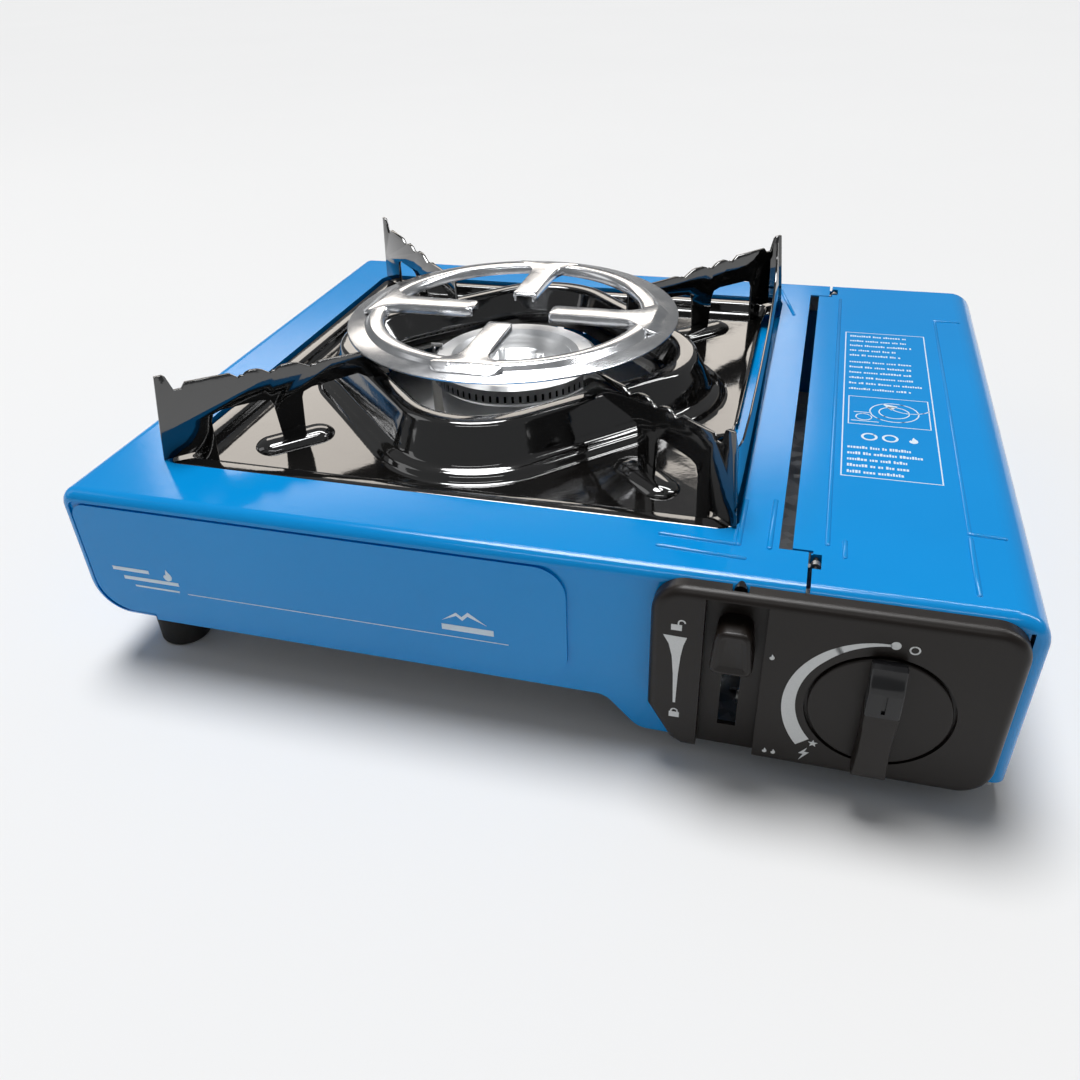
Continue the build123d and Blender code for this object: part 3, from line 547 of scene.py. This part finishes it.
def bar_from_side(side, half, low_half):
    """Bar with this (depth, height) side outline, rounded along its edges and waisted in the middle."""
    shape = bmesh.new()
    rim = [shape.verts.new((KNOB_X - half, GRIP_BASE - depth, KNOB_Z + height)) for depth, height in side]
    push_out(shape, [shape.faces.new(rim)], (2 * half, 0, 0))
    bmesh.ops.recalc_face_normals(shape, faces=shape.faces)
    for level in (KNOB_Z + 2, KNOB_Z - 4, KNOB_Z - 10, KNOB_Z - 16):
        geom = list(shape.verts) + list(shape.edges) + list(shape.faces)
        bmesh.ops.bisect_plane(shape, geom=geom, dist=0.001, plane_co=(0, 0, level), plane_no=(0, 0, 1))
    for vert in shape.verts:
        if vert.co.z < KNOB_Z + 5:
            waist = abs(sin(pi * (KNOB_Z + 5 - vert.co.z) / 27))
            width = half + (low_half - half) * (KNOB_Z + 5 - vert.co.z) / 27 - 0.55 * waist
            vert.co.x = KNOB_X + (width if vert.co.x > KNOB_X else -width)
    ridges = [edge for edge in shape.edges if len(edge.link_faces) == 2
              and edge.calc_face_angle() > radians(25) and abs(edge.verts[0].co.x - edge.verts[1].co.x) < 2]
    bmesh.ops.bevel(shape, geom=ridges, offset=0.7, segments=3, profile=0.5, affect="EDGES", material=-1,
                    clamp_overlap=True)
    return shape


grip = bar_from_side([(0, 5.0), (7.5, 5.0), (7.55, -19.6), (7.2, -21.0), (6.2, -22.0), (4.6, -22.2),
                      (1.2, -22.2), (0.3, -21.2), (0, -20)], 5.2, 5.4)
finish_piece(grip, "knob_grip_bar", "knob", black_plastic, ("knob_grip",), sharp=50)
cap = bar_from_side([(0, 21.4), (3.0, 22.2), (4.5, 21.4), (6.0, 16.6), (7.3, 14.4), (7.6, 5.1), (0, 5.1)],
                    5.15, 5.15)
for point, normal in (((KNOB_X - 0.6, 0, 0), (1, 0, 0)), ((KNOB_X + 0.6, 0, 0), (1, 0, 0)),
                      ((0, 0, KNOB_Z + 6.6), (0, 0, 1)), ((0, 0, KNOB_Z + 13.6), (0, 0, 1))):
    cap_front = [face for face in cap.faces if face.normal.y < -0.99 and face.calc_center_median().y < -144]
    corners = {vert for face in cap_front for vert in face.verts}
    sides = {edge for face in cap_front for edge in face.edges}
    bmesh.ops.bisect_plane(cap, geom=list(corners) + list(sides) + cap_front, dist=0.001, plane_co=point,
                           plane_no=normal)
slit = [face for face in cap.faces
        if face.normal.y < -0.99 and abs(face.calc_center_median().x - KNOB_X) < 0.3
        and KNOB_Z + 7 < face.calc_center_median().z < KNOB_Z + 13]
push_out(cap, slit, (0, 0.9, 0))
bmesh.ops.delete(cap, geom=[face for face in slit if face.is_valid], context="FACES_ONLY")
finish_piece(cap, "knob_cap_hood", "knob", gloss_black, ("knob_cap",), sharp=30)

# ---- Fuel lock lever ----
# Moulded thumb piece with a dished front, narrower towards its top.
# A short neck carries it in the upright slot beside the knob.
thumb = bmesh.new()
thumb_low, thumb_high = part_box("lever_thumb")
x0, y0, z0 = (value / MM for value in thumb_low)
x1, y1, z1 = (value / MM for value in thumb_high)
thumb_back = PANEL + 4.6
middle = (x0 + x1) / 2
for vert in add_block(thumb, (x0, y0, z0), (x1, thumb_back, z1)):
    if vert.co.z > (z0 + z1) / 2:
        vert.co.x = middle + 0.74 * (vert.co.x - middle)
    elif vert.co.y < y0 + 1:
        vert.co.z += 1.2
soften(thumb, [e for e in thumb.edges if abs(e.verts[0].co.y - e.verts[1].co.y) > 1], 3.2, 5)
front_face = [f for f in thumb.faces if f.calc_center_median().y < y0 + 0.01]
bmesh.ops.inset_region(thumb, faces=front_face, thickness=1.5, depth=0)
soften(thumb, [e for e in thumb.edges if all(abs(v.co.y - y0) < 0.01 for v in e.verts)
               and any(abs(f.normal.y) < 0.5 for f in e.link_faces)], 1.3, 3)
for face in thumb.faces:
    if face.normal.y < -0.9 and face.calc_area() > 60:
        bmesh.ops.inset_region(thumb, faces=[face], thickness=1.6, depth=-0.9)
        break
NECK_X = 80.5
add_block(thumb, (NECK_X - 2.4, thumb_back - 0.5, 53), (NECK_X + 2.4, y1, 61))
finish_piece(thumb, "lever_head", "lever", black_plastic, ("lever_thumb",))

# ---- Lid ----
# Pressed blue lid over the cartridge bay, hinged along its inner edge by two wire pins.
# It has a long bead beside the hinge and a printed label; beads mark the edges of a sunk panel towards the
# right edge, but the panel itself is not sunk.
lid_beads = bmesh.new()
add_bead(lid_beads, (105.2, -104, BEAD_LEVEL), (105.2, 122, BEAD_LEVEL), 1.8, 0.85)
add_bead(lid_beads, (110.6, -110, BEAD_LEVEL), (110.6, -101, BEAD_LEVEL), 1.8, 0.85)
EDGE_BEAD_X, EDGE_BEAD_LEVEL = 149.0, TOP - 0.35
add_bead(lid_beads, (EDGE_BEAD_X, -88, EDGE_BEAD_LEVEL), (EDGE_BEAD_X, 100, EDGE_BEAD_LEVEL), 1.6, 0.75)
for start, end in ((-88, (159.4, -88.6)), (-91, (EDGE_BEAD_X, -121)), (100, (159.4, 100))):
    add_bead(lid_beads, (EDGE_BEAD_X, start, EDGE_BEAD_LEVEL), (*end, EDGE_BEAD_LEVEL), 2.0, 0.95)
finish_piece(lid_beads, "lid_beads", "lid", blue_paint, turn_faces=False)

random.seed(11)
lid_label = bmesh.new()
LABEL = (108.3, 143.2, -58.2, 79.0)
left, right, near, far = LABEL
LINE = 0.45
for edge in (bar(left, right, near, near + LINE), bar(left, right, far - LINE, far),
             bar(left, left + LINE, near + LINE, far - LINE),
             bar(right - LINE, right, near + LINE, far - LINE)):
    add_ink(lid_label, edge, TOP, "Z")


def word_line(y, height, start, end):
    """One row of small strokes in word-like groups, where the real label has a line of small print."""
    x = start
    left_in_word = random.randint(2, 9)
    while x < end - 1.0:
        width = random.uniform(0.5, 0.95)
        add_ink(lid_label, bar(x, x + width, y, y + height * random.choice((0.75, 0.75, 1.0))), TOP, "Z")
        x += width + 0.3
        left_in_word -= 1
        if not left_in_word:
            x += 0.75
            left_in_word = random.randint(2, 9)


for row in range(5):
    word_line(73.5 - 5.6 * row, 1.8, left + 2.2, right - random.uniform(2.5, 14))
for row in range(6):
    word_line(43.6 - 5.6 * row, 1.7, left + 2.2, right - random.uniform(2.5, 9))
for row, end in enumerate((24, 27, 22, 22, 20)):
    word_line(-36.6 - 4.7 * row, 2.0, left + 2.2, left + 2.2 + end)
for edge in (bar(110.4, 141.4, -16.5, -16.1), bar(110.4, 141.4, 8.6, 9.0), bar(110.4, 110.8, -16.1, 8.6),
             bar(141.0, 141.4, -16.1, 8.6)):
    add_ink(lid_label, edge, TOP, "Z")


def ring_line(x, y, rx, ry, width, start=0, end=360, count=36):
    """Thin printed ellipse or part of one."""
    for index in range(count):
        a = radians(start + (end - start) * index / count)
        b = radians(start + (end - start) * (index + 1) / count)
        add_ink(lid_label, [(x + rx * cos(a), y + ry * sin(a)), (x + rx * cos(b), y + ry * sin(b)),
                            (x + (rx - width) * cos(b), y + (ry - width) * sin(b)),
                            (x + (rx - width) * cos(a), y + (ry - width) * sin(a))], TOP, "Z")


ring_line(128, -4, 9.5, 8.5, 0.5)
ring_line(128, -4, 6.0, 5.2, 0.5)
ring_line(116.4, -9.6, 3.2, 3.0, 0.45)
ring_line(134, 4, 9.0, 8.0, 0.45, 200, 330, 16)
add_ink(lid_label, [(123.5, 3.6), (129.5, 2.0), (127.0, -1.8)], TOP, "Z")
add_ink(lid_label, bar(111.6, 122.0, -13.6, -13.1), TOP, "Z")
add_ink(lid_label, bar(112.6, 119.4, -5.8, -5.3), TOP, "Z")
ring_line(118.4, -26.4, 3.0, 3.0, 0.9)
ring_line(126.0, -26.4, 3.0, 3.0, 0.9)
add_ink(lid_label, flame(134.4, -28.0, 4.0), TOP, "Z")
finish_piece(lid_label, "lid_label", "lid", pale_print)

# ---- Drip tray ----
# One deep-drawn sheet in glossy black vitreous enamel: rolled rim, sunk floor and a raised collar
# round the burner. The enamel pools at the corners and has tiny dimples.
enamel = Finish("black_enamel", roughness=0.06, ior=2.0)
enamel.paint("Base Color", enamel.blend(enamel.noise(25, 3), (0.0035, 0.0032, 0.003), (0.007, 0.0065, 0.006)))
enamel.paint("Roughness", 0.045 + enamel.noise(160, 4) * 0.05)
enamel_wave = enamel.noise(95, 2, 0.4) + enamel.noise(700, 2, 0.4) * 0.2
enamel.bump(enamel_wave, 0.00012, 0.4)


def polar_angles():
    """Directions from the centre, closer together towards the tray's corners."""
    angles = [2.5 * step for step in range(144)]
    for corner in (45, 135, 225, 315):
        angles += [corner + offset / 4 for offset in range(-12, 13) if offset % 10]
    return sorted(set(angles))


def square_reach(half, corner, turn, angle):
    """Distance from the centre to a round-cornered square's edge in one direction."""
    direction = radians(angle - turn)
    major = max(abs(cos(direction)), abs(sin(direction)))
    minor = min(abs(cos(direction)), abs(sin(direction)))
    flat = half / major
    middle = half - corner
    if flat * minor <= middle:
        return flat
    lean = (major + minor) * middle
    return lean + sqrt(max(lean * lean - 2 * middle * middle + corner * corner, 0))


def square_loop(shape, half, corner, turn, z):
    """Ring of points on a round-cornered square about the burner."""
    points = []
    for angle in polar_angles():
        reach = square_reach(half, corner, turn, angle)
        x, y = reach * cos(radians(angle)), reach * sin(radians(angle))
        points.append(shape.verts.new((BURNER_X + x, BURNER_Y + y, z)))
    return points


def add_sleeve(shape, first, second):
    """Faces between two rings with the same number of points."""
    for index in range(len(first)):
        shape.faces.new((first[index - 1], first[index], second[index], second[index - 1]))


TRAY_LOOPS = [
    (108.9, 6.5, 0, 75.25), (108.9, 6.5, 0, 75.6), (108.6, 6.3, 0, 75.9), (108.0, 6.0, 0, 76.0),
    (103.4, 5.0, 0, 76.0), (102.6, 5.0, 0, 75.8), (102.1, 5.0, 0, 75.2), (101.9, 5.2, 0, 74.2),
    (101.2, 5.6, 0, 72.2), (100.6, 5.8, 0, 71.4), (99.4, 6.0, 0, 71.02), (97.5, 6.5, 0, 71.0),
    (80.8, 47.2, 45, 71.0), (79.6, 46.4, 45, 71.15), (78.8, 45.8, 45, 71.9), (78.2, 45.2, 45, 73.2),
    (77.4, 44.4, 45, 74.0), (76.2, 43.2, 45, 74.4), (73.9, 40.6, 45, 75.0), (73.1, 39.6, 45, 75.8),
    (72.4, 38.9, 45, 77.4), (69.6, 37.4, 45, 84.0), (68.2, 36.8, 45, 87.0), (67.8, 36.5, 45, 88.4),
    (67.2, 36.2, 45, 89.4), (66.2, 35.6, 45, 89.9), (65.2, 35.0, 45, 90.0), (62.2, 33.4, 45, 90.0),
    (61.0, 32.8, 45, 89.8), (60.2, 32.4, 45, 89.2), (59.8, 32.1, 45, 88.2), (56.6, 31.2, 45, 80.5),
    (53.0, 30.2, 45, 73.0)]
tray = bmesh.new()
loops = [square_loop(tray, *row) for row in TRAY_LOOPS]
for outer, inner in zip(loops, loops[1:]):
    add_sleeve(tray, outer, inner)
bmesh.ops.recalc_face_normals(tray, faces=tray.faces)
if sum(face.normal.z * face.calc_area() for face in tray.faces) < 0:
    bmesh.ops.reverse_faces(tray, faces=tray.faces)

# The sheet is cut away in front of the heat shield, so the blue well shows there.
CUT = [(67.7, 98), (67.7, -14), (65, -24), (59, -33), (59, -58), (80, -78), (80, 98)]
for (ax, ay), (bx, by) in zip(CUT, CUT[1:] + CUT[:1]):
    nearby = [face for face in tray.faces if face.calc_center_median().x > 48]
    corners = {vert for face in nearby for vert in face.verts}
    sides = {edge for face in nearby for edge in face.edges}
    bmesh.ops.bisect_plane(tray, geom=list(corners) + list(sides) + nearby, dist=0.0005, plane_co=(ax, ay, 0),
                           plane_no=(by - ay, ax - bx, 0))


def inside_cut(x, y):
    crossings = 0
    for (ax, ay), (bx, by) in zip(CUT, CUT[1:] + CUT[:1]):
        if (ay > y) != (by > y) and x < ax + (y - ay) * (bx - ax) / (by - ay):
            crossings += 1
    return crossings % 2 == 1


removed = [face for face in tray.faces
           if inside_cut(face.calc_center_median().x, face.calc_center_median().y) or (
               face.calc_center_median().x > 74 and abs(face.calc_center_median().y - BURNER_Y) < 105)]
bmesh.ops.delete(tray, geom=removed, context="FACES")
tray_piece = finish_piece(tray, "enamel_tray", "tray", enamel, ("drip_tray",), sharp=50,
                          turn_faces=False)
gauge = tray_piece.modifiers.new("gauge", "SOLIDIFY")
gauge.thickness = 0.7 * MM
gauge.offset = -1

# ---- Pan supports ----
# Four stamped plates standing on the tray's diagonals, with toothed tops against slipping,
# clinched through the tray over one long pressed mound each; enamelled with the tray.
SCALE = 0.92
LEG_OUTLINE = [
    (12.4, 0.2), (1.6, 0.2), (2.6, 12.0), (5.0, 36.5), (7.2, 36.5), (8.0, 35.6), (9.4, 29.3),
    (11.5, 29.3), (12.8, 31.6), (25.5, 30.9), (27.8, 28.3), (28.6, 29.0), (29.4, 28.8), (30.2, 29.7),
    (31.6, 30.3), (33.8, 30.0), (35.1, 29.3), (37.2, 27.2), (38.0, 27.9), (38.9, 27.7), (39.7, 28.6),
    (41.2, 29.3), (44.0, 29.3), (45.8, 28.8), (49.5, 25.9), (50.3, 26.5), (51.2, 26.3), (52.0, 27.0),
    (53.5, 27.4), (58.0, 27.1), (68.5, 26.6), (74.0, 25.0), (74.4, 14.3), (67.5, 14.3), (64.0, 17.5),
    (49.0, 16.5), (46.2, 15.2), (45.5, 13.0), (44.5, -6.3), (37.5, -6.3), (36.5, 12.0), (35.6, 14.9),
    (33.0, 16.0), (21.0, 16.0), (18.4, 14.9), (17.5, 12.0), (17.0, -6.3), (12.6, -6.3)]
LEGS = (("leg_front_left", 225), ("leg_front_right", 315), ("leg_rear_left", 135), ("leg_rear_right", 45))
for name, turn in LEGS:
    plate = bmesh.new()
    rim = [plate.verts.new(((120 - d) * sqrt(2) * SCALE, -0.75, TOP + SCALE * z)) for d, z in LEG_OUTLINE]
    push_out(plate, [plate.faces.new(rim)], (0, 1.5, 0))
    bmesh.ops.recalc_face_normals(plate, faces=plate.faces)
    rims = [edge for edge in plate.edges if abs(edge.verts[0].co.y - edge.verts[1].co.y) < 0.1]
    soften(plate, rims, 0.28, 2)
    place = Matrix.Translation((BURNER_X, BURNER_Y, 0)) @ Matrix.Rotation(radians(turn), 4, "Z")
    bmesh.ops.transform(plate, matrix=place, verts=plate.verts)
    finish_piece(plate, name + "_plate", "tray", enamel, (name,), sharp=40)

tray_bosses = bmesh.new()
for turn in (45, 135, 225, 315):
    outward = Vector((cos(radians(turn)), sin(radians(turn)), 0))
    foot_place = Vector((BURNER_X, BURNER_Y, 70.7)) + outward * 102.8
    add_bead(tray_bosses, foot_place - outward * 9, foot_place + outward * 9, 15.0, 3.5, segments=16)
finish_piece(tray_bosses, "tray_bosses", "tray", enamel, turn_faces=False)

# ---- Heat shield ----
# Thin enamelled sheet between the burner and the cartridge bay, above the tray's right edge.
# It leans out to the right, and its top is dished between two ears.
shield_low, shield_high = 69.2, 109.0
y0, y1 = BURNER_Y - 104, BURNER_Y + 104
shield_rim = [(y0, shield_low), (y1, shield_low), (y1 - 3.0, 108.4), (y1 - 3.6, 109), (y1 - 6.5, 109),
              (y1 - 8.5, 105.0), (y1 - 11, 100.2), (y1 - 14.5, 97), (y1 - 20, 94.4), (y1 - 34, 90.4),
              (y1 - 60, 88), (BURNER_Y, 87), (y0 + 60, 88), (y0 + 34, 90.4), (y0 + 20, 94.4), (y0 + 14.5, 97),
              (y0 + 11, 100.2), (y0 + 8.5, 105.0), (y0 + 6.5, 109), (y0 + 3.6, 109), (y0 + 3.0, 108.4)]
shield = bmesh.new()
rim = [shield.verts.new((75.3, y, z)) for y, z in shield_rim]
push_out(shield, [shield.faces.new(rim)], (1, 0, 0))
bmesh.ops.recalc_face_normals(shield, faces=shield.faces)
rims = [edge for edge in shield.edges if abs(edge.verts[0].co.x - edge.verts[1].co.x) < 0.1]
soften(shield, rims, 0.3, 2)
foot_line = Matrix.Translation((76.3, 0, 69))
lean = foot_line @ Matrix.Rotation(radians(-6), 4, "Y") @ foot_line.inverted()
bmesh.ops.transform(shield, matrix=lean, verts=shield.verts)
finish_piece(shield, "shield_plate", "tray", enamel, ("heat_shield",), sharp=40)

# ---- Pot ring ----
# Pressed bright ring: a flat outer flange, a raised channel and four channel fingers
# whose roots flare out over the channel. Fine draw marks and soft dents from the press.
ring_metal = Finish("pressed_ring", metallic=1.0, roughness=0.16)
draw_marks = ring_metal.noise(120, 3, 0.55)
ring_metal.paint("Base Color", ring_metal.blend(draw_marks, (0.64, 0.65, 0.67), (0.82, 0.83, 0.85)))
ring_metal.paint("Roughness", 0.12 + draw_marks * 0.16)
ring_metal.bump(ring_metal.noise(60, 2, 0.5), 0.0003, 0.35)
RING = 101.8
pot_ring = bmesh.new()
band = [(55.2, 0), (56.0, 0), (56.7, 2.6), (57.3, 3.1), (60.6, 3.1), (61.6, 2.6), (62.6, 1.1), (63.4, 0.7),
        (70.8, 0.2), (71.3, 0.4), (71.3, 0.9), (70.9, 1.2), (64.0, 1.6), (63.0, 2.2), (62.0, 3.4),
        (61.0, 4.0), (57.0, 4.0), (56.0, 3.5), (55.4, 2.4)]
spin_profile(pot_ring, [(radius, RING + z) for radius, z in band], steps=180)
finish_piece(pot_ring, "pot_ring_band", "ring", ring_metal, ("pot_ring",), sharp=50)

# Half width, side drop and top height of a finger's cross-section at each distance from the centre.
FINGER_STEPS = [(17.2, 4.6, 3.2, 3.6), (17.8, 5.2, 3.9, 3.9), (20, 5.5, 4.0, 4.0), (34, 5.5, 4.0, 4.0),
                (46, 5.6, 4.0, 4.0), (51, 6.2, 4.0, 4.0), (54, 8.0, 3.8, 4.0), (57, 11.6, 2.4, 4.1),
                (60, 14.4, 1.6, 4.1), (62, 15.2, 1.5, 3.9), (64, 14.0, 1.4, 2.6), (66, 11.5, 1.1, 2.0)]
wall = 0.9
for index in range(4):
    finger = bmesh.new()
    sections = []
    for reach, half, drop, top in FINGER_STEPS:
        outline = [(-half, top - drop), (-half, top - 1.0), (-half + 0.5, top - 0.2), (-half + 1.4, top),
                   (0, top), (half - 1.4, top), (half - 0.5, top - 0.2), (half, top - 1.0),
                   (half, top - drop),
                   (half - wall, top - drop), (half - wall, top - 1.2), (half - 1.9, top - wall),
                   (0, top - wall), (-half + 1.9, top - wall), (-half + wall, top - 1.2),
                   (-half + wall, top - drop)]
        sections.append([finger.verts.new((reach, y, RING + z)) for y, z in outline])
    for inner, outer in zip(sections, sections[1:]):
        add_sleeve(finger, inner, outer)
    finger.faces.new(sections[0])
    finger.faces.new(sections[-1])
    for sign in (-1, 1):
        bmesh.ops.create_uvsphere(finger, u_segments=20, v_segments=12, radius=2.0, matrix=Matrix.Translation(
            (60.5, sign * 7.0, RING + 3.2)) @ Matrix.Diagonal((1.3, 1.0, 0.42, 1)))
    bmesh.ops.recalc_face_normals(finger, faces=finger.faces)
    place = Matrix.Translation((BURNER_X, BURNER_Y, 0)) @ Matrix.Rotation(radians(90 * index), 4, "Z")
    bmesh.ops.transform(finger, matrix=place, verts=finger.verts)
    finish_piece(finger, f"ring_finger_{index + 1}", "ring", ring_metal, sharp=45,
                 turn_faces=False)
